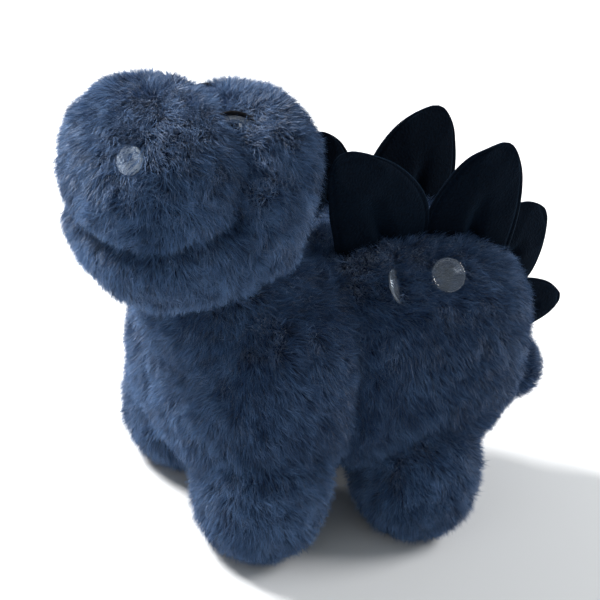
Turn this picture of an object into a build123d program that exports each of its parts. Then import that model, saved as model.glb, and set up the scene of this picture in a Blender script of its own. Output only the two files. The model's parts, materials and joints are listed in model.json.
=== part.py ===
from build123d import *
import os
from math import cos, radians, sin, sqrt

# A sewn and stuffed plush stegosaurus, in millimetres. It faces -Y, its left side is +X and
# it stands on Z = 0. Surfaces are the backing of the fur: the pile stands outside them.

# ---- driving dimensions ---------------------------------------------------------------
FABRIC = 3.0            # backed fur fabric with its pressed pile
VELOUR = 1.5            # one velour face of a back plate
PATCH = 1.2             # an embroidered patch
SEAM = 0.9              # a line of sewing thread
SEAM_LIFT = 0.05        # the mouth line lies this far off the fur's skin
CLEARANCE = 0.5         # between bodies that turn against each other
FAR = 400               # further than any point of the toy

# Egg shapes as (centre, radii). Two of the three radii are equal, so each is a turned shape.
BLUNT = 5               # each egg ends in a flat this far from its own axis
BARREL_LEFT = ((8, 40, 112), (69, 88, 69))
BARREL_RIGHT = ((-8, 40, 112), (69, 88, 69))
CHEST = ((0, -53, 98), (82, 50, 50))
MUZZLE = ((0, -124, 223), (54, 44, 44))
JAW = ((0, -110, 194), (56, 42, 42))
CHEEKS = ((0, -80, 203), (56, 38, 38))
BROW = ((0, -69, 227), (44, 35, 35))
TAIL_TIP = ((0, 141, 72), (20, 28, 20))

NECK_CENTRE = (0, -66, 150)     # the head nods and turns about this point
NECK_RADIUS = 38
TAIL_CENTRE = (0, 120, 72)      # the tail wags about this point
TAIL_ROOT_RADIUS = 23

LEG_RADIUS = 33
LEG_HEIGHT = 96
LEG_ROUNDING = 21
LEGS = {                        # name: (x, y) of the leg's axis
    "front_leg_left": (52, -55),
    "front_leg_right": (-52, -55),
    "hind_leg_left": (54, 49),
    "hind_leg_right": (-54, 49),
}

GUSSET_HALF = 20        # half the width of the strips along the back, belly and head
BACK_GUSSET_LOW = 80    # the back strip ends here, above the tail
MOUTH_HEIGHT = 188      # the jaw panel is sewn on at this height

# The back plates, from the nape to the tail, in two staggered rows. Each one has its place
# across the back, its angle round the barrel from the rear, its width and height, and how
# far its tip lies towards the tail.
PLATES = {
    "plate_1": dict(x=-24, angle=115, width=44, height=46, tip=10),
    "plate_2": dict(x=24, angle=107, width=54, height=74, tip=-25),
    "plate_3": dict(x=-24, angle=76, width=62, height=63, tip=9),
    "plate_4": dict(x=24, angle=67, width=62, height=67, tip=-15),
    "plate_5": dict(x=-12, angle=25, width=50, height=47, tip=-9),
    "plate_6": dict(x=10, angle=7, width=34, height=38, tip=2),
}
PLATE_GAP = 2.6         # a plate hangs on its stitches this far above the back
PLATE_WAD = 5.0         # thickness of the wadding between the two faces
PLATE_HEM = 4.0         # seam allowance round the wadding

NOSTRIL_AT = (36, 244)          # X and Z of the left nostril on the muzzle
NOSTRIL_SIZE = (20, 15)
EYE_AT = (24, 252)              # X and Z of the left eye on the brow
EYE_SIZE = (22, 17)
DISC_RADIUS = 10
DISC_THICKNESS = 1.0
DISC_PIN_RADIUS = 1.2
DISC_STAND = 4.0                # how far a disc stands off the fabric, in the pile
DISCS = {"clear_disc_front": (48, 14), "clear_disc_rear": (47, 48)}    # X and Y
LABEL_SIZE = (14, 1.2, 24)      # the folded care label under the tail
LABEL_AT = (26, 105)


# ---- shapes ---------------------------------------------------------------------------
def half_oval(length, radius):
    """The half of an oval above the X axis, its two ends cut off flat."""
    reach = length * sqrt(1 - (BLUNT / radius) ** 2)
    return Ellipse(length, radius) & Pos(0, FAR / 2) * Rectangle(2 * reach, FAR)


def egg(shape, grow=0.0):
    """The egg shape as a solid, its radii larger by grow. It is turned about its odd radius."""
    centre, (a, b, c) = shape
    length, radius = (a, c) if b == c else (b, c)
    solid = revolve(half_oval(length + grow, radius + grow), Axis.X)
    return Pos(*centre) * Rot(0, 0, 0 if b == c else 90) * solid


def height_on(shape, x, y, upper=True):
    """The height of the egg's surface above the point (x, y)."""
    (cx, cy, cz), (a, b, c) = shape
    rise = c * sqrt(max(0.0, 1 - ((x - cx) / a) ** 2 - ((y - cy) / b) ** 2))
    return cz + rise if upper else cz - rise


def front_on(shape, x, z):
    """The Y of the egg's front surface at the point (x, z)."""
    (cx, cy, cz), (a, b, c) = shape
    return cy - b * sqrt(1 - ((x - cx) / a) ** 2 - ((z - cz) / c) ** 2)


def normal_on(shape, point):
    """The direction square to the egg's surface at a point on it."""
    centre, radii = shape
    return Vector(*((p - q) / r**2 for p, q, r in zip(point, centre, radii))).normalized()


def torso_solid(grow=0.0):
    return egg(BARREL_LEFT, grow) + egg(BARREL_RIGHT, grow) + egg(CHEST, grow)


def head_solid(grow=0.0):
    return egg(MUZZLE, grow) + egg(JAW, grow) + egg(CHEEKS, grow) + egg(BROW, grow)


def tail_outline(grow=0.0):
    """Half of the tail's outline, its axis along X from the middle of the round root."""
    (_, y, _), (_, length, radius) = TAIL_TIP
    root = Circle(TAIL_ROOT_RADIUS + grow) & Pos(0, FAR / 2) * Rectangle(2 * FAR, FAR)
    return root + Pos(y - TAIL_CENTRE[1], 0) * half_oval(length + grow, radius + grow)


def leg_solid(x, y, grow=0.0):
    """A round leg with a rounded foot. grow makes it larger all over."""
    radius = LEG_RADIUS + grow
    column = Cylinder(radius, LEG_HEIGHT + 2 * grow)
    column = fillet(column.edges().filter_by(GeomType.CIRCLE), LEG_ROUNDING + grow)
    return Pos(x, y, LEG_HEIGHT / 2) * column


def slab(low, high):
    """A box between two corners."""
    size = [h - l for l, h in zip(low, high)]
    middle = [(h + l) / 2 for l, h in zip(low, high)]
    return Pos(*middle) * Box(*size)


def left_half(x=0.0):
    return slab((x, -FAR, -FAR), (FAR, FAR, FAR))


def right_half(x=0.0):
    return slab((-FAR, -FAR, -FAR), (x, FAR, FAR))


# ---- sub-assemblies -------------------------------------------------------------------
def torso():
    neck_cup = Pos(*NECK_CENTRE) * Sphere(NECK_RADIUS + CLEARANCE)
    tail_cup = Pos(*TAIL_CENTRE) * Rot(90, 0, 0) * Sphere(TAIL_ROOT_RADIUS + CLEARANCE)
    inside = torso_solid(-FABRIC)
    shell = torso_solid() - inside - neck_cup - tail_cup
    side = shell & right_half(-GUSSET_HALF)
    middle = slab((-GUSSET_HALF, -FAR, -FAR), (GUSSET_HALF, FAR, FAR))
    back = slab(
        (-GUSSET_HALF, NECK_CENTRE[1], BACK_GUSSET_LOW), (GUSSET_HALF, FAR, FAR)
    )
    return {
        "torso_panel_left": mirror(side, Plane.YZ),
        "torso_panel_right": side,
        "back_gusset": shell & back,
        "belly_gusset": (shell & middle) - back,
        "torso_stuffing": inside - neck_cup - tail_cup,
    }


def leg(name, x, y):
    """The two fur panels of a leg and its stuffing, sewn to the torso."""
    body = torso_solid()
    inside = leg_solid(x, y, -FABRIC)
    shell = leg_solid(x, y) - inside - body
    outer, inner = (left_half(x), right_half(x)) if x > 0 else (right_half(x), left_half(x))
    return {
        name + "_outer": shell & outer,
        name + "_inner": shell & inner,
        name + "_stuffing": inside - body,
    }


def neck():
    ball = Pos(*NECK_CENTRE) * Sphere(NECK_RADIUS)
    inside = Pos(*NECK_CENTRE) * Sphere(NECK_RADIUS - FABRIC)
    return {"neck_collar": ball - inside, "neck_stuffing": inside}


def tail():
    """Two half skins and the filling, turned about the tail's own line."""
    place = Pos(*TAIL_CENTRE) * Rot(0, 0, 90)
    half = revolve(tail_outline() - tail_outline(-FABRIC), Axis.X, revolution_arc=180)
    return {
        "tail_panel_left": place * Rot(90, 0, 0) * half,
        "tail_panel_right": place * Rot(-90, 0, 0) * half,
        "tail_stuffing": place * revolve(tail_outline(-FABRIC), Axis.X),
    }


def head():
    neck_cup = Pos(*NECK_CENTRE) * Sphere(NECK_RADIUS + CLEARANCE)
    inside = head_solid(-FABRIC)
    shell = head_solid() - inside - neck_cup
    jaw = slab((-FAR, -FAR, -FAR), (FAR, FAR, MOUTH_HEIGHT))
    upper = shell - jaw
    side = upper & right_half(-GUSSET_HALF)
    seam = slab(
        (-FAR, -FAR, MOUTH_HEIGHT - SEAM), (FAR, CHEEKS[0][1], MOUTH_HEIGHT + SEAM)
    )
    return {
        "head_panel_left": mirror(side, Plane.YZ),
        "head_panel_right": side,
        "head_gusset": upper & slab((-GUSSET_HALF, -FAR, 0), (GUSSET_HALF, FAR, FAR)),
        "jaw_panel": shell & jaw,
        "head_stuffing": inside - neck_cup,
        "mouth_stitch": (head_solid(SEAM) - head_solid(SEAM_LIFT)) & seam,
    }


def patch(shape, x, z, size):
    """An oval patch laid on the front of an egg shape."""
    point = (x, front_on(shape, x, z), z)
    plane = Plane(origin=point, x_dir=(0, 0, 1), z_dir=normal_on(shape, point))
    punch = extrude(plane * Ellipse(size[1] / 2, size[0] / 2), amount=12, both=True)
    return (egg(shape, PATCH) - egg(shape)) & punch


def face():
    nostril = patch(MUZZLE, *NOSTRIL_AT, NOSTRIL_SIZE) - egg(BROW)
    eye = patch(BROW, *EYE_AT, EYE_SIZE) - egg(MUZZLE)
    return {
        "nostril_left": nostril,
        "nostril_right": mirror(nostril, Plane.YZ),
        "eye_left": eye,
        "eye_right": mirror(eye, Plane.YZ),
    }


def plate_frame(x, angle):
    """The plane of a back plate: its origin on the hinge line, X along the line towards the
    tail and Y away from the back."""
    barrel = BARREL_LEFT if x > 0 else BARREL_RIGHT
    (cx, cy, cz), (a, b, c) = barrel
    ring = sqrt(1 - ((x - cx) / a) ** 2)
    turn = radians(angle)
    point = Vector(x, cy + b * ring * cos(turn), cz + c * ring * sin(turn))
    along = Vector(0, b * sin(turn), -c * cos(turn)).normalized()
    out = normal_on(barrel, tuple(point))
    return Plane(origin=point + out * PLATE_GAP, x_dir=along, z_dir=along.cross(out))


def leaf(width, height, tip, inset=0.0):
    """A leaf outline: a straight base, two bulging sides and a blunt tip."""
    half = width / 2 - inset
    top = height - 1.6 * inset
    blunt = width / 12
    front, rear = (-half, inset), (half, inset)
    tip_front, tip_rear = (tip - blunt, top - blunt / 2), (tip + blunt, top - blunt / 2)
    bulge = 0.42
    with BuildSketch() as sketch:
        with BuildLine():
            Line(front, rear)
            ThreePointArc(rear, (half + (tip_rear[0] - half) * bulge + inset / 4, top * 0.56), tip_rear)
            ThreePointArc(tip_rear, (tip, top), tip_front)
            ThreePointArc(
                tip_front, (-half + (tip_front[0] + half) * bulge - inset / 4, top * 0.56), front
            )
        make_face()
    return sketch.sketch


def plate(name, x, angle, width, height, tip):
    """Two velour faces with a wad between them."""
    frame = plate_frame(x, angle)
    outline = leaf(width, height, tip)
    wad = extrude(leaf(width, height, tip, PLATE_HEM), amount=PLATE_WAD / 2, both=True)
    face = extrude(outline, amount=VELOUR)
    return {
        name + "_face_left": frame * Pos(0, 0, PLATE_WAD / 2) * face,
        name + "_face_right": frame * Pos(0, 0, -PLATE_WAD / 2 - VELOUR) * face,
        name + "_wad": frame * wad,
    }


def trim():
    """The clear discs in the pile of the left flank, the closing seam and the care label."""
    parts = {}
    for name, (x, y) in DISCS.items():
        point = Vector(x, y, height_on(BARREL_LEFT, x, y))
        out = normal_on(BARREL_LEFT, tuple(point))
        frame = Plane(origin=point + out * DISC_STAND, x_dir=(0, 1, 0), z_dir=out)
        pin = Pos(0, 0, -DISC_STAND) * extrude(Circle(DISC_PIN_RADIUS), amount=DISC_STAND)
        disc = extrude(Circle(DISC_RADIUS), amount=DISC_THICKNESS)
        parts[name] = frame * (disc + pin) - torso_solid()
    belly = slab((-SEAM, 0, 0), (SEAM, BARREL_LEFT[0][1] * 2, BARREL_LEFT[0][2]))
    parts["closing_seam"] = (torso_solid(SEAM) - torso_solid()) & belly
    width, thick, length = LABEL_SIZE
    x, y = LABEL_AT
    bottom = height_on(BARREL_LEFT, x, y, upper=False)
    tag = slab((x - width / 2, y, bottom - length / 2), (x + width / 2, y + thick, bottom + length))
    parts["care_label"] = tag - torso_solid()
    return parts


# ---- write the sub-parts --------------------------------------------------------------
def all_parts():
    parts = torso() | neck() | head() | face() | tail() | trim()
    for name, (x, y) in LEGS.items():
        parts |= leg(name, x, y)
    for name, values in PLATES.items():
        parts |= plate(name, **values)
    return parts


os.makedirs("parts", exist_ok=True)
for node, shape in all_parts().items():
    export_step(shape, f"parts/{node}.step")
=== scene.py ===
"""The looks of a plush stegosaurus around its CAD frame: pile, velour plates, face and trim."""
import json
from math import cos, pi, radians, sin, sqrt

import bpy
import numpy as np
from mathutils import Matrix, Vector


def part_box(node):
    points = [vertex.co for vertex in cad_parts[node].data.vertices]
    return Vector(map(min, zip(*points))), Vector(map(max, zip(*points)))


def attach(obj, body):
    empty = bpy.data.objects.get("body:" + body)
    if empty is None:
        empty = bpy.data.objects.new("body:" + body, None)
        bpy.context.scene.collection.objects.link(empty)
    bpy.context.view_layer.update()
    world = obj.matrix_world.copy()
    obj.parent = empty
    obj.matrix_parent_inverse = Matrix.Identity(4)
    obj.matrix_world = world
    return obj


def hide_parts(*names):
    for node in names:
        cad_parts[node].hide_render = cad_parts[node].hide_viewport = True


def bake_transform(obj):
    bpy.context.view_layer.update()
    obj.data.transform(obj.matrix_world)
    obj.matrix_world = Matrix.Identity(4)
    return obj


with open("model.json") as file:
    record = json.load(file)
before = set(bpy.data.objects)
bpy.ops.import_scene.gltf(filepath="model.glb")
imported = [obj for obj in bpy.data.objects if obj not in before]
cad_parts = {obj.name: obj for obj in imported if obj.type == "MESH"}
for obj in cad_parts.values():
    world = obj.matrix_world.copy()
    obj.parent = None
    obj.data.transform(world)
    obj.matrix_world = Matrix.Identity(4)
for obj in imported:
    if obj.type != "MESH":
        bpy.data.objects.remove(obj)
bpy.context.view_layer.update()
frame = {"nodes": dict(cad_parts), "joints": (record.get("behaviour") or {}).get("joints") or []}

# Lengths below are in millimetres unless a name or a comment says otherwise.
# X is the toy's left, and it faces -Y.
MM = 0.001

# ---- the shapes, at the level of the fur tips: (centre, radii, squareness) -----------------
BODY = [
    ((0, 38, 110), (84, 91, 78), 2.6),
    ((0, -51, 105), (88, 57, 73), 2.7),
    ((52, -55, 44), (41, 39, 48), 2.4),
    ((-52, -55, 44), (41, 39, 48), 2.4),
    ((55, 49, 42), (41, 38, 46), 2.4),
    ((-55, 49, 42), (41, 38, 46), 2.4),
]
NECK = [((0, -66, 140), (68, 52, 50), 2.2)]
HEAD = [
    ((0, -126, 223), (60, 48, 52), 2.2),
    ((0, -112, 193), (62, 53, 43), 2.7),
    ((0, -78, 204), (61, 40, 48), 2.4),
    ((0, -68, 228), (49, 39, 41), 2.3),
]
TAIL = [((0, 112, 73), (30, 26, 28), 2.0), ((0, 144, 71), (26, 27, 25), 2.0)]
BODY_MELT = 3.0         # how softly the shapes run into each other
HEAD_MELT = 4.5
PILE = 7.0              # height of the pile above its backing
GRID = 3.0              # spacing of the grid that the backing is made on

MOUTH_HALF = [(0, -163, 195), (30, -165, 195), (45, -156, 195), (55, -145, 197), (61, -131, 201),
              (61, -114, 208), (58, -98, 216)]
MOUTH_DEPTH = 7.0               # how deep the mouth line is pressed into the backing
NOSTRIL = (37, -157, 246)
EYE = (26, -91, 262)
BARE_SPOTS = [                  # (place, reach): no pile grows within reach of the place
    ((35, -160, 247), 6.0),     # in front of the nostril
    ((27, -94, 263), 10.5),     # in front of the eye
]
SHOULDER_DEPTH = 6.0
CREASE_WIDTH = 5.0
SHOULDER_SEAM = [(66, -26, 160), (76, -20, 130), (76, -13, 90), (70, -8, 50)]
WHIRL = (0, -125, 330)          # the pile of the head is combed away from here

# The direction that the photograph was taken from. The rear disc shows face-on there, so it is
# leaned that way. How it sits on the real toy is a guess.
TOWARDS_VIEW = (0.762, -0.476, 0.438)
DISCS = {      # name: (place, direction it leans to, how far, height above the backing)
    "clear_disc_rear": ((60, 41, 174), TOWARDS_VIEW, 0.62, 7.5),
    "clear_disc_front": ((60, 8, 171), (0.30, 0.95, 0.10), 0.56, 3.6),
}

STRANDS_PER_MM2 = 2.4
HEAD_DENSER = 1.15              # the head has this many times as many strands
STRAND_LENGTH = 9.5
STRAND_WIDTH = 0.34
STRANDS_IN_PIECE = 66000
FLOOR_CLEAR = 0.25              # no strand reaches lower than this
BROAD_DRIFT, BROAD_SCALE = 0.4, 26      # how far and how broadly the lie of the pile wanders
FINE_DRIFT, FINE_SCALE = 1.0, 6
STRAY = 0.34                    # how far single strands stray from the lie
LOWER_LEAN, UPPER_LEAN = 0.42, 1.0      # radians from upright, of each half of a strand
TUFT_SPACING = 3.6
TONE_COLUMNS = 48               # steps of tone from strand to strand
STAND_SPREAD = 0.18             # radians that single strands stand higher or lower
STAND_WAVE, STAND_SCALE = 0.42, 7       # and patches of them
TUFT_PULL = 0.5                 # the share of the way that tips are drawn together in tufts
BROAD_TONE, BROAD_TONE_SCALE = 0.26, 30     # how unevenly light the pile is, from 0 to 1
FINE_TONE, FINE_TONE_SCALE = 0.45, 4.5
STRAND_TONE = 0.2               # and single strands
HEAD_LEAN = 1.12                # the head's strands lean this many times as far
TOP_PAINTED_LIGHT = 0.20               # painted light: the pile facing up toward the whirl is this much lighter
TOP_LIGHT_FROM, TOP_LIGHT_FADE = 0.80, 0.20     # that painted light starts at this cosine, and grows over this
MOUTH_PAINTED_SHADE = -0.35              # painted shade: the pile along the mouth crease is this much darker
SIDE_PAINTED_SHADE = -0.40               # painted shade: the pile of the torso's sides is this much darker
LEG_TOP, SIDE_FADE = 55, 30     # that painted shade starts above the legs, and grows over this height
MOUTH_REACH = 6.0               # the pile about this near to the mouth line is combed off it
MOUTH_COMB = 0.9                # this strongly
MOUTH_SHORTER = 0.35            # and is shorter by this share
DISC_REACH = 11.0               # the pile about this near to a disc is shorter
DISC_SHORTER = 0.55             # by this share


# ---- small helpers ---------------------------------------------------------------------------
def unit(v):
    return v / np.maximum(np.linalg.norm(v, axis=-1, keepdims=True), 1e-9)


def distance(points, blobs, melt):
    """Roughly how far each point is outside the melted union of the blobs."""
    parts = []
    for centre, radii, power in blobs:
        d = points - np.array(centre, float)
        reach = np.linalg.norm(d, axis=1)
        ratio = (np.abs(d / np.array(radii, float)) ** power).sum(1) ** (1 / power)
        parts.append(reach - reach / np.maximum(ratio, 1e-6))
    parts = np.array(parts)
    least = parts.min(0)
    return least - melt * np.log(np.exp(-(parts - least) / melt).sum(0))


def gradient(field, points, h=0.5):
    """How fast the field grows at each point, along X, Y and Z."""
    out = np.empty_like(points)
    for k in range(3):
        step = np.zeros(3)
        step[k] = h
        out[:, k] = field(points + step) - field(points - step)
    return out / (2 * h)


def lattice(seed, size=24):
    """A table of random vectors for noise() and tuft_centres()."""
    return np.random.default_rng(seed).uniform(-1, 1, (size, size, size, 3))


def noise(points, scale, table):
    """Smooth vector noise with features about scale wide."""
    n = table.shape[0]
    q = points / scale
    base = np.floor(q).astype(int)
    f = q - base
    f = f * f * (3 - 2 * f)
    total = np.zeros((len(points), 3))
    for dx in (0, 1):
        for dy in (0, 1):
            for dz in (0, 1):
                w = np.where(dx, f[:, 0], 1 - f[:, 0])
                w = w * np.where(dy, f[:, 1], 1 - f[:, 1])
                w = w * np.where(dz, f[:, 2], 1 - f[:, 2])
                corner = table[(base[:, 0] + dx) % n, (base[:, 1] + dy) % n, (base[:, 2] + dz) % n]
                total += w[:, None] * corner
    return total


def tuft_centres(points, scale, table):
    """For each point, the nearest of a scattered set of points about scale apart."""
    n = table.shape[0]
    base = np.floor(points / scale).astype(int)
    best = np.full(len(points), 1e9)
    nearest = points.copy()
    for dx in (-1, 0, 1):
        for dy in (-1, 0, 1):
            for dz in (-1, 0, 1):
                cell = base + np.array([dx, dy, dz])
                jitter = table[cell[:, 0] % n, cell[:, 1] % n, cell[:, 2] % n]
                centre = (cell + 0.5 + 0.42 * jitter) * scale
                far = ((centre - points) ** 2).sum(1)
                closer = far < best
                best[closer] = far[closer]
                nearest[closer] = centre[closer]
    return nearest


def to_line(points, line):
    """Distance from each point to a bent line, and the vector to its nearest point."""
    line = np.array(line, float)
    best = np.full(len(points), 1e9)
    towards = np.zeros_like(points)
    for a, b in zip(line[:-1], line[1:]):
        d = b - a
        t = np.clip((points - a) @ d / (d @ d), 0, 1)
        away = a + t[:, None] * d - points
        far = np.linalg.norm(away, axis=1)
        closer = far < best
        best[closer] = far[closer]
        towards[closer] = away[closer]
    return best, towards


def smooth_line(points, per_span=6):
    """A rounded line through the points."""
    p = np.array(points, float)
    p = np.vstack([2 * p[0] - p[1], p, 2 * p[-1] - p[-2]])
    out = []
    for i in range(1, len(p) - 2):
        for t in np.linspace(0, 1, per_span, endpoint=False):
            a = 2 * p[i]
            b = (p[i + 1] - p[i - 1]) * t
            c = (2 * p[i - 1] - 5 * p[i] + 4 * p[i + 1] - p[i + 2]) * t * t
            d = (3 * p[i] - p[i - 1] - 3 * p[i + 1] + p[i + 2]) * t**3
            out.append((a + b + c + d) / 2)
    out.append(p[-2])
    return np.array(out)


def net(field, low, high, step):
    """A closed net of quads over the surface where field is zero."""
    axes = [np.arange(a, b + step, step) for a, b in zip(low, high)]
    grid = np.stack(np.meshgrid(*axes, indexing="ij"), -1)
    size = np.array(grid.shape[:3])
    value = field(grid.reshape(-1, 3)).reshape(size)
    total = np.zeros(tuple(size - 1) + (3,))
    count = np.zeros(tuple(size - 1))
    quads = []
    index = np.full(tuple(size - 1), -1)
    crossings = []
    for axis in range(3):
        first = [slice(None)] * 3
        second = [slice(None)] * 3
        first[axis] = slice(0, -1)
        second[axis] = slice(1, None)
        va, vb = value[tuple(first)], value[tuple(second)]
        cross = (va < 0) != (vb < 0)
        t = np.where(cross, va / np.where(cross, va - vb, 1), 0)
        point = grid[tuple(first)].copy()
        point[..., axis] += t * step
        u, w = [k for k in range(3) if k != axis]
        for du in (0, 1):
            for dw in (0, 1):
                take = [slice(None)] * 3
                take[u] = slice(du, size[u] - 1 + du)
                take[w] = slice(dw, size[w] - 1 + dw)
                hit = cross[tuple(take)]
                total += np.where(hit[..., None], point[tuple(take)], 0)
                count += hit
        crossings.append((axis, u, w, np.argwhere(cross), va[cross] < 0))
    active = count > 0
    index[active] = np.arange(active.sum())
    vertices = total[active] / count[active][:, None]
    for axis, u, w, where, outward in crossings:
        corners = []
        for du, dw in ((1, 1), (0, 1), (0, 0), (1, 0)):
            c = where.copy()
            c[:, u] -= du
            c[:, w] -= dw
            corners.append(index[c[:, 0], c[:, 1], c[:, 2]])
        quad = np.stack(corners, 1)
        turn = outward if axis != 1 else ~outward
        quad[~turn] = quad[~turn][:, ::-1]
        quads.append(quad)
    return vertices, np.vstack(quads)


def mesh_object(name, vertices, faces, smooth=True):
    """An object from points in millimetres and faces."""
    if isinstance(faces, np.ndarray):
        faces = faces.tolist()
    mesh = bpy.data.meshes.new(name)
    mesh.from_pydata((np.asarray(vertices) * MM).tolist(), [], faces)
    mesh.update()
    if smooth:
        mesh.shade_smooth()
    ob = bpy.data.objects.new(name, mesh)
    bpy.context.scene.collection.objects.link(ob)
    return ob


# ---- materials -------------------------------------------------------------------------------
def new_material(name, roughness, specular, sheen=0.0, sheen_tint=(1, 1, 1)):
    material = bpy.data.materials.new(name)
    material.use_nodes = True
    nodes, links = material.node_tree.nodes, material.node_tree.links
    shader = nodes["Principled BSDF"]
    shader.inputs["Roughness"].default_value = roughness
    shader.inputs["Specular IOR Level"].default_value = specular
    shader.inputs["Sheen Weight"].default_value = sheen
    shader.inputs["Sheen Roughness"].default_value = 0.4
    shader.inputs["Sheen Tint"].default_value = (*sheen_tint, 1)
    return material, nodes, links, shader


def two_tone(nodes, links, factor, low, high, target, start=0.0, end=1.0):
    """A ramp over factor from one colour to another, for target where there is one."""
    ramp = nodes.new("ShaderNodeValToRGB")
    ramp.color_ramp.elements[0].position = start
    ramp.color_ramp.elements[0].color = (*low, 1)
    ramp.color_ramp.elements[1].position = end
    ramp.color_ramp.elements[1].color = (*high, 1)
    links.new(factor, ramp.inputs["Fac"])
    if target is not None:
        links.new(ramp.outputs["Color"], target)
    return ramp


def strand_material(name, root, tip, dark_tip):
    """Pile: from root to tip along a strand, and lighter or darker from strand to strand."""
    material, nodes, links, shader = new_material(name, 0.5, 0.35, 0.3, (0.8, 0.87, 1))
    uv = nodes.new("ShaderNodeUVMap")
    uv.uv_map = "OFBake"
    split = nodes.new("ShaderNodeSeparateXYZ")
    links.new(uv.outputs["UV"], split.inputs["Vector"])
    light = two_tone(nodes, links, split.outputs["Y"], root, tip, None, 0.0, 0.9)
    dark = two_tone(nodes, links, split.outputs["Y"], root, dark_tip, None, 0.1, 1.0)
    mix = nodes.new("ShaderNodeMix")
    mix.data_type = "RGBA"
    links.new(split.outputs["X"], mix.inputs["Factor"])
    links.new(dark.outputs["Color"], mix.inputs["A"])
    links.new(light.outputs["Color"], mix.inputs["B"])
    links.new(mix.outputs["Result"], shader.inputs["Base Color"])
    return material


def cloth_material(name, dark, light, scale, roughness=0.9, sheen=0.0, tint=(1, 1, 1), bump=0.0):
    """Cloth with a fine mottle, and a nap where bump is set."""
    material, nodes, links, shader = new_material(name, roughness, 0.08, sheen, tint)
    place = nodes.new("ShaderNodeTexCoord")
    spots = nodes.new("ShaderNodeTexNoise")
    spots.inputs["Scale"].default_value = scale
    spots.inputs["Detail"].default_value = 4
    links.new(place.outputs["Object"], spots.inputs["Vector"])
    two_tone(nodes, links, spots.outputs["Fac"], dark, light, shader.inputs["Base Color"], 0.3, 0.7)
    if bump:
        nap = nodes.new("ShaderNodeBump")
        nap.inputs["Strength"].default_value = bump
        nap.inputs["Distance"].default_value = 0.0006
        links.new(spots.outputs["Fac"], nap.inputs["Height"])
        links.new(nap.outputs["Normal"], shader.inputs["Normal"])
    return material


FUR_ROOT = (0.004, 0.015, 0.046)
FUR_TIP = (0.098, 0.196, 0.385)
FUR_DARK_TIP = (0.018, 0.058, 0.148)
fur = strand_material("blue_pile", FUR_ROOT, FUR_TIP, FUR_DARK_TIP)
backing = cloth_material("backing_cloth", (0.008, 0.016, 0.04), (0.014, 0.026, 0.06), 300)
velour = cloth_material("navy_velour", (0.0001, 0.0010, 0.0034), (0.0004, 0.0036, 0.0092), 700,
                        roughness=1.0, sheen=0.07, tint=(0.02, 0.34, 0.80), bump=0.9)


# ---- skins and their pile ----------------------------------------------------------------------
class Skin:
    """The backing of one part, and what is known of the surface round it."""

    def __init__(self, blobs, melt):
        self.field = lambda q: distance(q, blobs, melt) + PILE
        centres = np.array([b[0] for b in blobs], float)
        radii = np.array([b[1] for b in blobs], float)
        low = (centres - radii).min(0) - 4
        high = (centres + radii).max(0) + 4
        self.vertices, self.faces = net(self.field, low, high, GRID)
        for _ in range(2):
            slope = gradient(self.field, self.vertices)
            steep = np.maximum((slope**2).sum(1), 0.1)
            self.vertices -= slope * (self.field(self.vertices) / steep)[:, None]
        self.normals = unit(gradient(self.field, self.vertices))

    def crease(self, line, depth, width):
        """Presses the backing in along a line."""
        far, _ = to_line(self.vertices, line)
        self.vertices -= self.normals * (depth * np.exp(-(far / width) ** 2))[:, None]

    def scatter(self, per_mm2, seed):
        """Points spread over the backing, with the direction out of it at each."""
        rng = np.random.default_rng(seed)
        a, b, c, d = (self.faces[:, k] for k in range(4))
        triangles = np.vstack([np.stack([a, b, c], 1), np.stack([a, c, d], 1)])
        p = self.vertices[triangles]
        area = np.linalg.norm(np.cross(p[:, 1] - p[:, 0], p[:, 2] - p[:, 0]), axis=1) / 2
        wanted = int(area.sum() * per_mm2)
        chosen = rng.choice(len(triangles), wanted, p=area / area.sum())
        u, v = rng.random(wanted), rng.random(wanted)
        over = u + v > 1
        u[over], v[over] = 1 - u[over], 1 - v[over]
        weights = np.stack([1 - u - v, u, v], 1)[:, :, None]
        points = (p[chosen] * weights).sum(1)
        normals = unit((self.normals[triangles[chosen]] * weights).sum(1))
        return points, normals


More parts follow.
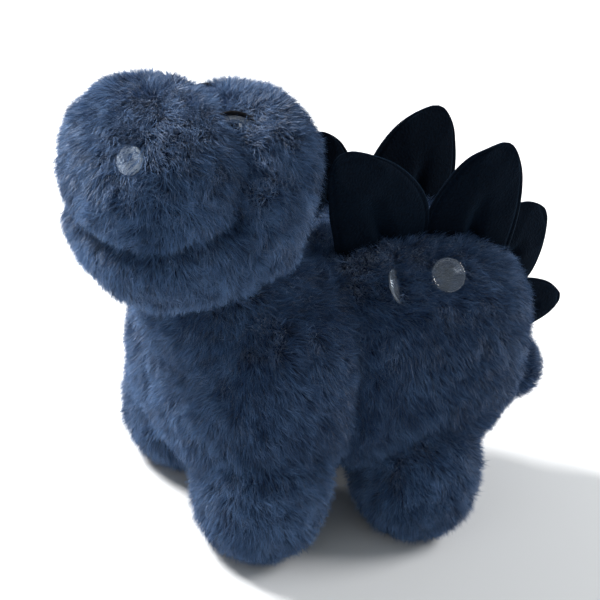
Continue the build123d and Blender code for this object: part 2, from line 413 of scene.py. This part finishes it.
def strands(name, points, normals, flow, length, seed, body_name, lean=1.0, painted_light_and_shade=0.0):
    """The pile on points: tapered ribbons that lie over along flow and gather in tufts."""
    rng = np.random.default_rng(seed)
    count = len(points)
    big, small, tufty = lattice(seed + 1), lattice(seed + 2), lattice(seed + 3)
    drift = BROAD_DRIFT * noise(points, BROAD_SCALE, big)
    drift += FINE_DRIFT * noise(points, FINE_SCALE, small)
    drift += rng.normal(0, STRAY, (count, 3))
    along = flow + drift
    along = unit(along - normals * (along * normals).sum(1)[:, None])
    stand = rng.normal(0, STAND_SPREAD, count)
    stand += STAND_WAVE * noise(points, STAND_SCALE, small)[:, 0]
    low_angle = np.clip(LOWER_LEAN * lean + stand, 0.05, 1.2)[:, None]
    high_angle = np.clip(UPPER_LEAN * lean + 1.3 * stand, 0.1, 1.5)[:, None]
    reach = (length * np.clip(rng.normal(1, 0.12, count), 0.65, 1.35))[:, None]
    middle = points + 0.5 * reach * (normals * np.cos(low_angle) + along * np.sin(low_angle))
    bend = normals * np.cos(high_angle) + along * np.sin(high_angle)
    tips = middle + 0.5 * reach * bend
    centre = tuft_centres(points, TUFT_SPACING, tufty) + (tips - points)
    pull = centre - tips
    pull -= normals * (pull * normals).sum(1)[:, None]
    tips += pull * np.clip(rng.normal(TUFT_PULL, 0.14, count), 0, 0.85)[:, None]
    middle += pull * 0.16
    side = unit(np.cross(bend, normals) + rng.normal(0, 0.55, (count, 3)))
    half = strand_width / 2 * np.clip(rng.normal(1, 0.2, count), 0.5, 1.6)[:, None]
    quintet = np.stack([points - side * half, points + side * half,
                        middle + side * half * 0.85, middle - side * half * 0.85, tips], 1)
    quintet[:, :, 2] = np.maximum(quintet[:, :, 2], FLOOR_CLEAR)
    tone = 0.5 + BROAD_TONE * noise(points, BROAD_TONE_SCALE, big)[:, 1]
    tone += FINE_TONE * noise(points, FINE_TONE_SCALE, small)[:, 1]
    tone += rng.normal(0, STRAND_TONE, count)
    # painted light and shade, shifted into the strands' tone
    tone += painted_light_and_shade
    column = np.floor(np.clip(tone, 0, 0.999) * TONE_COLUMNS)
    made = []
    for part, begin in enumerate(range(0, count, STRANDS_IN_PIECE)):
        block = slice(begin, min(begin + STRANDS_IN_PIECE, count))
        n = block.stop - block.start
        first = np.arange(n)[:, None] * 5
        ob = ribbon_object(f"{name}_pile_{part + 1}", quintet[block].reshape(-1, 3), first,
                           column[block] / TONE_COLUMNS, 1 / TONE_COLUMNS)
        if body_name:
            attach(ob, body_name)
        made.append(ob)
    return made


def ribbon_object(name, points, first, column, wide):
    """Ribbons of five points each, as a mesh whose OFBake coordinates give tone and height.

    first is the number of each ribbon's first point. Its tone is the column that starts at column
    and is wide across.
    """
    n = len(first)
    quad = first + np.array([0, 1, 2, 3])
    tip = first + np.array([3, 2, 4])
    loops = np.concatenate([quad, tip], 1).ravel()
    starts = (np.arange(n)[:, None] * 7 + np.array([0, 4])).ravel()
    sizes = np.tile([4, 3], n)
    mesh = bpy.data.meshes.new(name)
    mesh.vertices.add(len(points))
    mesh.vertices.foreach_set("co", (points * MM).astype(np.float32).ravel())
    mesh.loops.add(len(loops))
    mesh.loops.foreach_set("vertex_index", loops.astype(np.int32))
    mesh.polygons.add(2 * n)
    mesh.polygons.foreach_set("loop_start", starts.astype(np.int32))
    mesh.polygons.foreach_set("loop_total", sizes.astype(np.int32))
    layer = mesh.uv_layers.new(name="OFBake")
    left, right = column + 0.08 * wide, column + 0.92 * wide
    u = np.stack([left, right, right, left, left, right, (left + right) / 2], 1)
    v = np.tile([0.02, 0.02, 0.5, 0.5, 0.5, 0.5, 0.98], (n, 1))
    layer.data.foreach_set("uv", np.stack([u, v], 2).astype(np.float32).ravel())
    mesh.update()
    mesh.shade_smooth()
    mesh.materials.append(fur)
    ob = bpy.data.objects.new(name, mesh)
    bpy.context.scene.collection.objects.link(ob)
    return ob


def skin_object(name, skin, body_name, nodes):
    """The backing of a skin, in place of its CAD nodes."""
    ob = mesh_object(name, skin.vertices, skin.faces)
    ob.data.materials.append(backing)
    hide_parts(*nodes)
    if body_name:
        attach(ob, body_name)
    return ob


def nodes_of(*prefixes):
    """The names of the CAD nodes that start with any of these."""
    return [n for n in frame["nodes"] if n.startswith(prefixes)]


density = STRANDS_PER_MM2
strand_width = STRAND_WIDTH

mouth_line = smooth_line([(-x, y, z) for x, y, z in MOUTH_HALF[:0:-1]] + MOUTH_HALF)
head = Skin(HEAD, HEAD_MELT)
for _ in range(3):
    slope = unit(gradient(head.field, mouth_line))
    mouth_line -= slope * head.field(mouth_line)[:, None]
head.crease(mouth_line, MOUTH_DEPTH, CREASE_WIDTH)
body = Skin(BODY, BODY_MELT)
for side in (1, -1):
    seam = smooth_line([(side * x, y, z) for x, y, z in SHOULDER_SEAM])
    body.crease(seam, SHOULDER_DEPTH, CREASE_WIDTH)
neck = Skin(NECK, BODY_MELT)
tail = Skin(TAIL, BODY_MELT)

skin_object("torso_skin", body, "torso",
            nodes_of("torso_", "back_gusset", "belly_gusset", "front_leg", "hind_leg"))
skin_object("head_skin", head, "head", nodes_of("head_", "jaw_panel", "mouth_stitch"))
skin_object("tail_skin", tail, "tail", nodes_of("tail_"))
neck_skin = skin_object("neck_skin", neck, None, nodes_of("neck_"))
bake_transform(neck_skin)


def roots(skin, per_mm2, seed, *others):
    """Where the pile of a skin grows: nowhere deeper inside another skin than its margin."""
    points, normals = skin.scatter(per_mm2, seed)
    keep = np.ones(len(points), bool)
    for other, margin in others:
        keep &= other.field(points) >= -margin
    return points[keep], normals[keep]


def same_flow(flow, points):
    """One lie of the pile for all points."""
    return np.tile(flow, (len(points), 1))


# the head
points, normals = roots(head, density * HEAD_DENSER, 11, (neck, 8))
far, towards = to_line(points, mouth_line)
near_mouth = np.exp(-(far / MOUTH_REACH) ** 2)
flow = unit(points - np.array(WHIRL, float)) - unit(towards) * (near_mouth * MOUTH_COMB)[:, None]
bare = np.zeros(len(points), bool)
for side in (1, -1):
    for (x, y, z), reach in BARE_SPOTS:
        away = np.linalg.norm(points - np.array([side * x, y, z]), axis=1)
        bare |= away < reach
points, normals, flow, near_mouth = (a[~bare] for a in (points, normals, flow, near_mouth))
# painted light: the pile that faces up toward the whirl gets a lighter tone
facing = (unit(np.array(WHIRL) - points) * normals).sum(1)
painted_top_light = np.clip((facing - TOP_LIGHT_FROM) / TOP_LIGHT_FADE, 0, 1)
length = STRAND_LENGTH * (1 - MOUTH_SHORTER * near_mouth)
# painted shade: the pile along the mouth crease gets a darker tone
strands("head", points, normals, flow, length, 21, "head",
        lean=HEAD_LEAN, painted_light_and_shade=TOP_PAINTED_LIGHT * painted_top_light + MOUTH_PAINTED_SHADE * near_mouth)

# the torso and legs
points, normals = roots(body, density, 12, (neck, 10), (head, 10), (tail, 8))
length = np.full(len(points), STRAND_LENGTH)
for place, *_ in DISCS.values():
    away = np.linalg.norm(points - np.array(place), axis=1)
    length *= 1 - DISC_SHORTER * np.exp(-(away / DISC_REACH) ** 4)
# painted shade: the torso's sides get a darker tone above the legs
above_legs = np.clip((points[:, 2] - LEG_TOP) / SIDE_FADE, 0, 1)
strands("torso", points, normals, same_flow((0.0, 0.45, -1.0), points), length, 22, "torso",
        painted_light_and_shade=SIDE_PAINTED_SHADE * np.abs(normals[:, 0]) * above_legs)

# the neck
points, normals = roots(neck, density, 13, (body, 8), (head, 12))
length = np.full(len(points), STRAND_LENGTH)
for ob in strands("neck", points, normals, same_flow((0.0, 0.3, -1.0), points), length, 23, None):
    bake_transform(ob)

# the tail
points, normals = roots(tail, density, 14, (body, 8))
length = np.full(len(points), STRAND_LENGTH)
strands("tail", points, normals, same_flow((0.0, 1.0, -0.35), points), length, 24, "tail")


# ---- back plates -------------------------------------------------------------------------------
LEAF_ACROSS = 80        # points of the mesh across and up each side
LEAF_UP = 72
LEAF_THICK = 12.0
HEM = 4.0               # about how far the velour reaches past the wad
LEAF_MARGIN = 3         # the outline starts this much wider and taller than that
ROUND_FROM = 0.74       # the tip rounds off above this share of the height
TIP_THICK = 0.62        # the thickness at the tip, as a share of that lower down
SEAM_INSET = 0.10       # the stitched groove lies this share of the way in from the edge
SEAM_WIDTH = 0.032      # and is this wide, as a share too
SEAM_PINCH = 0.42       # and takes away this share of the thickness
ROOT_DEPTH = 5.0        # the base is buried this far in the pile
FOLD_TOP = 0.62         # the fold at the foot ends this share of the way up
FOLD_PUSH = 1.8         # and pushes the plate this far to one side
BOW = 2.4               # at the foot both edges bend this far to one side
WOBBLE, WOBBLE_SCALE = 0.9, 16      # it waves this far to either side, over this distance
WELD_M = 0.00002
# name: (front bulge, rear bulge and half top as shares of the width, extra height, tip shift)
LEAVES = {
    "plate_1": (0.12, 0.12, 0.17, 0.0, 0.0),
    "plate_2": (0.05, 0.24, 0.20, 2.0, 1.0),
    "plate_3": (0.17, 0.04, 0.18, -4.0, -1.0),
    "plate_4": (0.17, 0.05, 0.17, 0.0, 0.0),
    "plate_5": (0.10, 0.27, 0.19, 0.5, 7.0),
    "plate_6": (0.10, 0.10, 0.16, -3.5, 0.0),
}


def leaf_edges(width, tip, bulges, blunt, v):
    """Front and rear edge of the leaf at each share v of its height."""
    half = width / 2
    swell = np.sin(pi * v) ** 0.9
    close = np.sqrt(np.clip(1 - np.clip((v - ROUND_FROM) / (1 - ROUND_FROM), 0, 1) ** 2.4, 0, 1))
    front = -half + (tip - blunt * width + half) * v**1.25
    rear = half + (tip + blunt * width - half) * v**1.25
    middle = (front + rear) / 2
    front = middle + (front - middle - swell * width * bulges[0]) * close
    rear = middle + (rear - middle + swell * width * bulges[1]) * close
    return front, rear


def make_plate(number, joint):
    """Two swelled velour sides round one wad, on the line that its joint turns about."""
    name = f"plate_{number}"
    origin = np.array(joint["pos_m"]) / MM
    along = unit(np.array(joint["axis"], float))
    wad = np.array([v.co for v in frame["nodes"][name + "_wad"].data.vertices]) / MM
    up = wad.mean(0) - origin
    up = unit(up - along * (up @ along))
    across = np.cross(along, up)
    local = wad - origin
    front_bulge, rear_bulge, blunt, taller, tip_shift = LEAVES[name]
    height = (local @ up).max() + 1.6 * HEM + taller
    width = np.ptp(local[(local @ up) < HEM + 1] @ along) + 2 * HEM
    tip = 1.2 * (local @ along)[np.argmax(local @ up)] + tip_shift
    v = np.linspace(0, 1, LEAF_UP) ** 0.9
    front, rear = leaf_edges(width + LEAF_MARGIN, tip, (front_bulge, rear_bulge), blunt, v)
    u, vv = np.meshgrid(np.linspace(-1, 1, LEAF_ACROSS), v)
    x = (front[:, None] + rear[:, None]) / 2 + u * (rear - front)[:, None] / 2
    y = vv * (height + ROOT_DEPTH + LEAF_MARGIN) - ROOT_DEPTH
    edge = np.minimum(1 - np.abs(u), (1 - vv) * 1.6)
    puff = edge**0.5
    puff *= TIP_THICK + (1 - TIP_THICK) * np.clip((1 - vv) * 2, 0, 1)
    groove = np.exp(-((edge - SEAM_INSET) / SEAM_WIDTH) ** 2)
    thick = LEAF_THICK / 2 * puff * (1 - SEAM_PINCH * groove)
    fold_line = (tip * 0.45 * vv / width * 2) + 0.10
    fold = np.exp(-((u - fold_line) / (0.10 + 0.22 * vv)) ** 2) * np.clip(1 - vv / FOLD_TOP, 0, 1)
    thick_left = thick * (1 - 0.95 * fold) - FOLD_PUSH * fold
    thick_right = thick * (1 - 0.35 * fold) + FOLD_PUSH * fold
    bow = BOW * np.abs(u) ** 1.5 * (1 - vv)
    spots = np.stack([x.ravel(), y.ravel(), np.full(x.size, number * 40.0)], 1)
    wave = noise(spots, WOBBLE_SCALE, lattice(70 + number))[:, 0].reshape(x.shape)
    shift = bow + WOBBLE * wave * np.clip(vv * 2, 0, 1)
    sides = []
    for sign, t in ((1, thick_left), (-1, thick_right)):
        z = shift + sign * t
        sides.append(origin + x[..., None] * along + y[..., None] * up + z[..., None] * across)
    n = LEAF_ACROSS * LEAF_UP
    vertices = np.concatenate([s.reshape(-1, 3) for s in sides])
    faces = []
    for j in range(LEAF_UP - 1):
        for i in range(LEAF_ACROSS - 1):
            a = j * LEAF_ACROSS + i
            quad = [a, a + 1, a + 1 + LEAF_ACROSS, a + LEAF_ACROSS]
            faces.append(quad)
            faces.append([n + k for k in reversed(quad)])
    rim = [j * LEAF_ACROSS for j in range(LEAF_UP - 1, -1, -1)]
    rim += list(range(1, LEAF_ACROSS))
    rim += [j * LEAF_ACROSS + LEAF_ACROSS - 1 for j in range(1, LEAF_UP)]
    rim += [(LEAF_UP - 1) * LEAF_ACROSS + i for i in range(LEAF_ACROSS - 2, -1, -1)]
    for a, b in zip(rim[:-1], rim[1:]):
        faces.append([b, a, n + a, n + b])
    ob = mesh_object(name + "_velour", vertices, faces)
    ob.data.materials.append(velour)
    weld = ob.modifiers.new("weld", "WELD")
    weld.merge_threshold = WELD_M
    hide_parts(*nodes_of(name + "_"))
    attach(ob, name)


for joint in frame["joints"]:
    if joint["name"].startswith("plate_"):
        make_plate(int(joint["name"].split("_")[1]), joint)


# ---- face ----------------------------------------------------------------------------------------
def surface_frame(skin, point, tilt=None, weight=0.0):
    """The place on the backing nearest to point: origin, level, up the surface, out of it."""
    p = np.array([point], float)
    for _ in range(4):
        p -= unit(gradient(skin.field, p)) * skin.field(p)[:, None]
    out = unit(gradient(skin.field, p))[0]
    if tilt is not None:
        out = unit(out * (1 - weight) + unit(np.array(tilt, float)) * weight)
    level = unit(np.cross([0, 0, 1], out))
    return p[0], level, np.cross(out, level), out


DOME_RIM = 1.2          # height of the upright rim round a dome


def dome(name, place, half_wide, half_high, rise, lift, rings=14, spokes=56, shift=(0, 0),
         rumple=0.0, seed=0):
    """A low closed cushion with an oval outline."""
    origin, level, up, out = place
    vertices, faces = [], []
    table = lattice(300 + seed)
    for r in np.linspace(0, 1, rings)[1:]:
        for k in range(spokes):
            turn = 2 * pi * k / spokes
            x = half_wide * r * cos(turn) + shift[0]
            y = half_high * r * sin(turn) + shift[1]
            z = lift + rise * (1 - r**2.4) ** 0.5
            vertices.append((x, y, z))
    flat = np.array(vertices)
    spots = np.column_stack([flat[:, :2], np.zeros(len(flat))])
    flat[:, 2] += rumple * noise(spots, 4.5, table)[:, 0] * (flat[:, 2] > lift)
    top = np.array([[shift[0], shift[1], lift + rise]])
    last = flat[-spokes:].copy()
    last[:, 2] -= DOME_RIM
    bottom = np.array([[shift[0], shift[1], lift - DOME_RIM]])
    flat = np.vstack([flat, last, top, bottom])
    rings_made = rings - 1
    for ring in range(rings_made):
        for k in range(spokes):
            a, b = ring * spokes + k, ring * spokes + (k + 1) % spokes
            faces.append([a, a + spokes, b + spokes, b])
    centre_top, centre_bottom = len(flat) - 2, len(flat) - 1
    under = rings_made * spokes
    for k in range(spokes):
        faces.append([k, (k + 1) % spokes, centre_top])
        faces.append([under + (k + 1) % spokes, under + k, centre_bottom])
    points = origin + flat[:, :1] * level + flat[:, 1:2] * up + flat[:, 2:3] * out
    return mesh_object(name, points, faces)


def tube(name, line, radius, sides=10):
    """A closed thread along a line, thin at both ends."""
    line = np.array(line, float)
    n = len(line)
    ahead = unit(np.gradient(line, axis=0))
    across = unit(np.cross(ahead, [0.13, 0.71, 0.4]))
    other = np.cross(ahead, across)
    thick = radius * (0.35 + 0.65 * np.sin(pi * np.linspace(0.02, 0.98, n)) ** 0.5)
    turn = np.arange(sides) * 2 * pi / sides
    ring = across[:, None] * np.cos(turn)[None, :, None]
    ring = ring + other[:, None] * np.sin(turn)[None, :, None]
    points = (line[:, None] + ring * thick[:, None, None]).reshape(-1, 3)
    faces = []
    for i in range(n - 1):
        for k in range(sides):
            a, b = i * sides + k, i * sides + (k + 1) % sides
            faces.append([a, b, b + sides, a + sides])
    faces.append(list(range(sides))[::-1])
    faces.append([(n - 1) * sides + k for k in range(sides)])
    return mesh_object(name, points, faces)


def stitched_material(name, dark, light, scale, shine=0.4):
    """Satin stitch: fine shiny lines of thread side by side."""
    material, nodes, links, shader = new_material(name, 0.5, shine, shine / 4)
    place = nodes.new("ShaderNodeTexCoord")
    lines = nodes.new("ShaderNodeTexWave")
    lines.inputs["Scale"].default_value = scale
    lines.inputs["Distortion"].default_value = 1.2
    links.new(place.outputs["Object"], lines.inputs["Vector"])
    two_tone(nodes, links, lines.outputs["Fac"], dark, light, shader.inputs["Base Color"])
    rib = nodes.new("ShaderNodeBump")
    rib.inputs["Strength"].default_value = 0.5
    rib.inputs["Distance"].default_value = 0.0003
    links.new(lines.outputs["Fac"], rib.inputs["Height"])
    links.new(rib.outputs["Normal"], shader.inputs["Normal"])
    return material


satin = stitched_material("pale_satin_cloth", (0.25, 0.31, 0.40), (0.38, 0.44, 0.53), 170)
white_thread = stitched_material("white_thread", (0.40, 0.42, 0.46), (0.62, 0.64, 0.68), 260)
iris_thread = stitched_material("iris_thread", (0.05, 0.08, 0.13), (0.13, 0.18, 0.26), 260)
black_thread = stitched_material("black_thread", (0.001, 0.001, 0.002), (0.004, 0.004, 0.006), 260,
                                 shine=0.1)


def finish_piece(ob, material, body_name, nodes=()):
    """Gives a piece its material and its body, and hides the CAD nodes it stands for."""
    ob.data.materials.append(material)
    if nodes:
        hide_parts(*nodes)
    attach(ob, body_name)


NOSTRIL_HALF = (7.6, 7.8)       # half width and half height
NOSTRIL_RISE, NOSTRIL_LIFT, NOSTRIL_RUMPLE = 1.9, 3.2, 0.8
EYE_TILT, EYE_TILT_SHARE = (0.85, -0.2, 0.45), 0.6      # the eye is turned this way, this far
EYE_RADIUS = 11.0
# (part, thread, half width and height as shares of the radius, rise, lift, rings, spokes, shift of
# its middle, further shift to the front of the toy)
EYE_PARTS = [
    ("white", white_thread, 1.00, 0.70, 1.6, 2.9, 8, 56, (0, 0), 0),
    ("iris", iris_thread, 0.66, 0.56, 1.4, 3.5, 8, 56, (0, -0.6), 0),
    ("pupil", black_thread, 0.40, 0.40, 1.2, 4.0, 7, 56, (0, -0.8), 0.4),
    ("glint", white_thread, 0.13, 0.12, 0.5, 4.5, 5, 24, (2.6, 1.4), 0),
]
LASH_SHARES = (1.06, 0.74)      # half width and height of the upper line, as shares of the radius
LASH_LIFT = 4.7
LASH_RADIUS = 1.35
LASH_ENDS = (200, -25)          # degrees round the eye

for side, word in ((1, "left"), (-1, "right")):
    x, y, z = NOSTRIL
    place = surface_frame(head, (side * x, y, z))
    ob = dome(f"nostril_{word}_satin", place, *NOSTRIL_HALF, NOSTRIL_RISE, NOSTRIL_LIFT,
              rumple=NOSTRIL_RUMPLE, seed=side + 2)
    finish_piece(ob, satin, "head", [f"nostril_{word}"])

    x, y, z = EYE
    tilt = (side * EYE_TILT[0], EYE_TILT[1], EYE_TILT[2])
    place = surface_frame(head, (side * x, y, z), tilt, EYE_TILT_SHARE)
    for part, cloth, wide, high, rise, lift, rings, spokes, shift, forward in EYE_PARTS:
        ob = dome(f"eye_{word}_{part}", place, EYE_RADIUS * wide, EYE_RADIUS * high, rise, lift,
                  rings, spokes, (shift[0] - forward * side, shift[1]))
        nodes = [f"eye_{word}"] if part == "white" else []
        finish_piece(ob, cloth, "head", nodes)
    origin, level, up_eye, out = place
    arc = []
    for turn in np.radians(np.linspace(*LASH_ENDS, 40)):
        sideways = level * cos(turn) * EYE_RADIUS * LASH_SHARES[0]
        upwards = up_eye * sin(turn) * EYE_RADIUS * LASH_SHARES[1]
        arc.append(origin + sideways + upwards + out * LASH_LIFT)
    ob = tube(f"eye_{word}_lash", arc, LASH_RADIUS)
    finish_piece(ob, black_thread, "head")


# ---- clear discs, closing seam and label ---------------------------------------------------------
def clear_material(name):
    """Clear plastic with a faint haze."""
    material, nodes, links, shader = new_material(name, 0.06, 0.5)
    place = nodes.new("ShaderNodeTexCoord")
    haze = nodes.new("ShaderNodeTexNoise")
    haze.inputs["Scale"].default_value = 90
    links.new(place.outputs["Object"], haze.inputs["Vector"])
    two_tone(nodes, links, haze.outputs["Fac"], (0.52, 0.60, 0.70), (0.66, 0.74, 0.84),
             shader.inputs["Base Color"])
    shader.inputs["Transmission Weight"].default_value = 0.92
    shader.inputs["IOR"].default_value = 1.47
    return material


def lathe(name, place, profile, spokes=72):
    """A closed turned piece from (radius, height) pairs."""
    origin, level, upward, out = place
    turn = np.arange(spokes) * 2 * pi / spokes
    circle = np.cos(turn)[:, None] * level + np.sin(turn)[:, None] * upward
    rings = [origin + out * height + radius * circle for radius, height in profile]
    faces = []
    for i in range(len(profile) - 1):
        for k in range(spokes):
            a, b = i * spokes + k, i * spokes + (k + 1) % spokes
            faces.append([a, b, b + spokes, a + spokes])
    faces.append(list(range(spokes))[::-1])
    faces.append([(len(profile) - 1) * spokes + k for k in range(spokes)])
    return mesh_object(name, np.vstack(rings), faces)


DISC_PROFILE = [        # (radius, height) from the middle of the back round the rim to the front
    (2.0, -0.4), (8.6, -0.4), (9.2, -0.7), (9.8, -0.6), (10.1, -0.1), (10.1, 0.4), (9.8, 0.9),
    (9.3, 1.0), (8.8, 0.7), (8.4, 0.3), (2.0, 0.25)]
clear = clear_material("clear_plastic_sheet")
for name, (point, tilt, weight, lift) in DISCS.items():
    origin, level, upward, out = surface_frame(body, point, tilt, weight)
    straight = surface_frame(body, point)[3]
    ob = lathe(name + "_plastic", (origin + straight * lift, level, upward, out), DISC_PROFILE)
    finish_piece(ob, clear, "torso", [name])

thread = stitched_material("seam_thread_cloth", (0.010, 0.016, 0.035), (0.02, 0.03, 0.06), 400)
seam_node = frame["nodes"]["closing_seam"]
seam_node.data.materials.clear()
seam_node.data.materials.append(thread)

TAPE_HALF = 0.18        # half the thickness of the label's tape
TAPE_GAP = 0.9          # half the space between its two layers
TAPE_BELLY = 1.2        # below its top, the label stands this far to the rear
TAPE_CURL = 0.5         # and bows this far across its width
label_low, label_high = (np.array(v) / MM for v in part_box("care_label"))
label_cloth = cloth_material("label_tape_cloth", (0.74, 0.74, 0.72), (0.84, 0.84, 0.82), 800)


def folded_label(low, high):
    """A strip of tape folded double at its lower end."""
    rows, across = 30, 8
    middle_y = (low[1] + high[1]) / 2
    length = high[2] - low[2]
    path = []
    for t in np.linspace(-1, 1, rows):
        belly = TAPE_BELLY * (1 - abs(t) ** 6)
        path.append((TAPE_GAP * t + belly, high[2] - length * (1 - abs(t) ** 3) ** 0.7))
    vertices = []
    for layer in (TAPE_HALF, -TAPE_HALF):
        for k, (y, z) in enumerate(path):
            before, after = path[max(k - 1, 0)], path[min(k + 1, rows - 1)]
            dy, dz = after[0] - before[0], after[1] - before[1]
            size = sqrt(dy * dy + dz * dz) + 1e-9
            for x in np.linspace(low[0], high[0], across):
                curl = TAPE_CURL * sin(3 * (x - low[0]) / (high[0] - low[0]))
                depth = middle_y + y + curl + layer * dz / size
                vertices.append((x, depth, z - layer * dy / size))
    n = rows * across
    faces = []
    for r in range(rows - 1):
        for c in range(across - 1):
            a = r * across + c
            quad = [a, a + 1, a + 1 + across, a + across]
            faces.append(quad[::-1])
            faces.append([n + k for k in quad])
    rim = list(range(across))
    rim += [r * across + across - 1 for r in range(1, rows)]
    rim += [(rows - 1) * across + c for c in range(across - 2, -1, -1)]
    rim += [r * across for r in range(rows - 2, -1, -1)]
    for a, b in zip(rim[:-1], rim[1:]):
        faces.append([a, b, n + b, n + a])
    return mesh_object("care_label_tape", vertices, faces)


label = folded_label(label_low, label_high)
finish_piece(label, label_cloth, "torso", ["care_label"])


# ---- stage, light and camera -------------------------------------------------------------------
def camera_basis(azimuth, elevation, roll):
    """The directions ahead, to the right and up for a camera that looks at the toy."""
    a, e, r = radians(azimuth), radians(elevation), radians(roll)
    view = Vector((-sin(a) * cos(e), cos(a) * cos(e), -sin(e)))
    right = Vector((cos(a), sin(a), 0))
    up = right.cross(view)
    tilted_right = right * cos(r) + up * sin(r)
    tilted_up = up * cos(r) - right * sin(r)
    return view, tilted_right, tilted_up


AZIMUTH = 58            # degrees round from straight ahead of the toy to its left
ELEVATION = 26
ROLL = 9.8
DISTANCE_M = 1.1
LENS = 110
SENSOR = 36
MIDDLE_M = (0, 0, 0.12)     # the toy's middle
AIM_LEFT_M = 0.0132     # in its picture, the camera looks this far left of that middle
AIM_UP_M = 0.0096       # and this far above it
view, right, up = camera_basis(AZIMUTH, ELEVATION, ROLL)
aim = Vector(MIDDLE_M) - right * AIM_LEFT_M + up * AIM_UP_M
camera_data = bpy.data.cameras.new("camera")
camera_data.lens = LENS
camera_data.sensor_width = SENSOR
camera = bpy.data.objects.new("camera", camera_data)
bpy.context.scene.collection.objects.link(camera)
camera.matrix_world = Matrix.Translation(aim - view * DISTANCE_M) @ Matrix(
    (right, up, -view)).transposed().to_4x4()
bpy.context.scene.camera = camera


FLOOR_HALF = 6000
FLOOR_COLOUR = (0.86, 0.86, 0.86)
corners = np.array([(-1, -1, 0), (1, -1, 0), (1, 1, 0), (-1, 1, 0)]) * FLOOR_HALF
floor = mesh_object("floor", corners, [[0, 1, 2, 3]], smooth=False)
floor.data.materials.append(cloth_material("floor_paint", FLOOR_COLOUR, FLOOR_COLOUR, 5))

LIGHTS = [      # (name, place and size in metres, watts)
    ("key", (-0.95, -0.85, 1.3), 0.6, 66),
    ("back", (0.3, 1.5, 1.2), 0.9, 26),
    ("front", (0.9, -1.5, 0.5), 1.2, 4),
]
for name, place, size, power in LIGHTS:
    data = bpy.data.lights.new(name, "AREA")
    data.shape = "DISK"
    data.size = size
    data.energy = power
    light = bpy.data.objects.new(name, data)
    bpy.context.scene.collection.objects.link(light)
    light.location = place
    light.rotation_mode = "QUATERNION"
    direction = Vector(MIDDLE_M) - Vector(place)
    light.rotation_quaternion = direction.to_track_quat("-Z", "Y")
SKY_COLOUR = (0.84, 0.93, 1.0, 1)
SKY_STRENGTH = 0.31
world = bpy.data.worlds.new("studio")
world.use_nodes = True
sky = world.node_tree.nodes["Background"]
sky.inputs["Color"].default_value = SKY_COLOUR
sky.inputs["Strength"].default_value = SKY_STRENGTH
bpy.context.scene.world = world
bpy.context.scene.view_settings.view_transform = "Standard"
